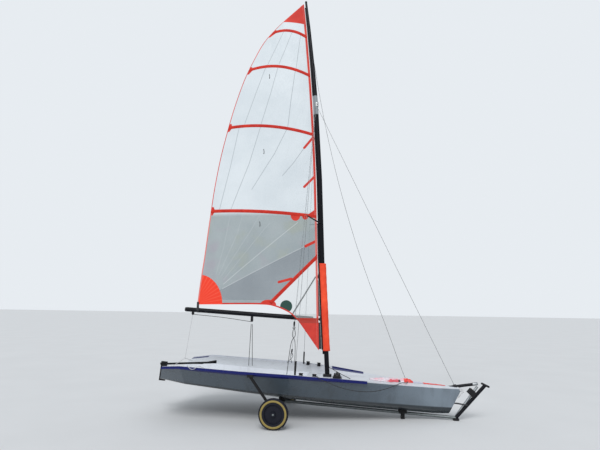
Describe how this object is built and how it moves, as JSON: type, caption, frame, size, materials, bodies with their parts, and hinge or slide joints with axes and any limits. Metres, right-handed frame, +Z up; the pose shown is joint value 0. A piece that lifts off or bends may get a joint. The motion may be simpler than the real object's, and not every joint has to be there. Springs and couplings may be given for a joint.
{
  "type": "two-person sailing dinghy on a launching trolley",
  "caption": "Decked sailing dinghy with wide gunwales, bent mast, battened mainsail on its boom and a tiller, standing bow down on a wheeled launching trolley.",
  "frame": {"origin": "on the ground under the middle of the whole outline", "axes": "+X to the bow, +Y to port, +Z up, the boat's middle plane at y = 0"},
  "size_m": [5.0032, 2.01, 7.022],
  "materials": {
    "cloth_pink": "thin pink and red sailcloth",
    "deck_white": "white laminate with a fine non-slip grain",
    "fitting_black": "black moulded fitting",
    "fitting_steel": "stainless fitting",
    "galvanised": "dull grey tube",
    "gunwale_blue": "dark blue rubbing strip",
    "hull_white": "glossy white laminate",
    "mast_black": "black satin tube",
    "pad_black": "black rubber",
    "rim_dark": "dark moulded rim",
    "sail_film": "clear laminated sailcloth",
    "sail_red": "orange red sailcloth tape",
    "sleeve_orange": "fluorescent orange cloth",
    "strap_black": "black webbing",
    "tyre_olive": "olive yellow tyre",
    "wire_steel": "stainless wire"
  },
  "bodies": {
    "root": {"adjusters": "fitting_steel", "axle": "galvanised", "board_case": "deck_white", "bow_chock": "pad_black", "bow_handle": "fitting_black", "bow_post": "galvanised", "bow_ring": "fitting_steel", "bow_sail": "cloth_pink", "bow_stay": "galvanised", "bowsprit": "mast_black", "cradle_arms": "galvanised", "deck": "deck_white", "forestay": "wire_steel", "gooseneck": "fitting_steel", "gunwale_pads": "pad_black", "gunwale_port": "gunwale_blue", "gunwale_starboard": "gunwale_blue", "hounds": "fitting_steel", "hull": "hull_white", "keel_pads": "pad_black", "keel_tube": "galvanised", "luff_track": "mast_black", "mainsheet_block": "fitting_black", "mast_lower": "mast_black", "mast_sleeve": "sleeve_orange", "mast_step": "fitting_black", "mast_top": "mast_black", "masthead_cap": "fitting_black", "rudder_bracket": "fitting_steel", "sheet_blocks": "fitting_black", "shroud_port": "wire_steel", "shroud_starboard": "wire_steel", "spreaders": "mast_black", "strut_bracket": "fitting_steel", "trolley_feet": "pad_black"},
    "boom": {"boom": "mast_black", "boom_toggle": "fitting_black", "boom_cap": "fitting_black", "gnav_strut": "mast_black", "mainsail": "sail_film", "battens": "sail_red", "boom_blocks": "fitting_black", "clew_strap": "strap_black"},
    "rudder": {"rudder_stock": "fitting_black", "tiller": "mast_black"},
    "wheel_starboard": {"rim_starboard": "rim_dark", "tyre_starboard": "tyre_olive"},
    "wheel_port": {"rim_port": "rim_dark", "tyre_port": "tyre_olive"}
  },
  "joints": [
    {"name": "boom_swing", "type": "hinge", "parent": "root", "child": "boom", "pos_m": [0.01968, 0, 1.425], "axis": [-0.0506, 0, 0.9987], "range_deg": [-55, 55]},
    {"name": "rudder_steer", "type": "hinge", "parent": "root", "child": "rudder", "pos_m": [-2.37669, 0, 0.58097], "axis": [0.0732, 0, 0.9973], "range_deg": [-40, 40]},
    {"name": "wheel_turn_starboard", "type": "hinge", "parent": "root", "child": "wheel_starboard", "pos_m": [-0.5465, -0.955, 0.2], "axis": [0, 1, 0], "continuous": true},
    {"name": "wheel_turn_port", "type": "hinge", "parent": "root", "child": "wheel_port", "pos_m": [-0.5465, 0.955, 0.2], "axis": [0, 1, 0], "continuous": true}
  ]
}
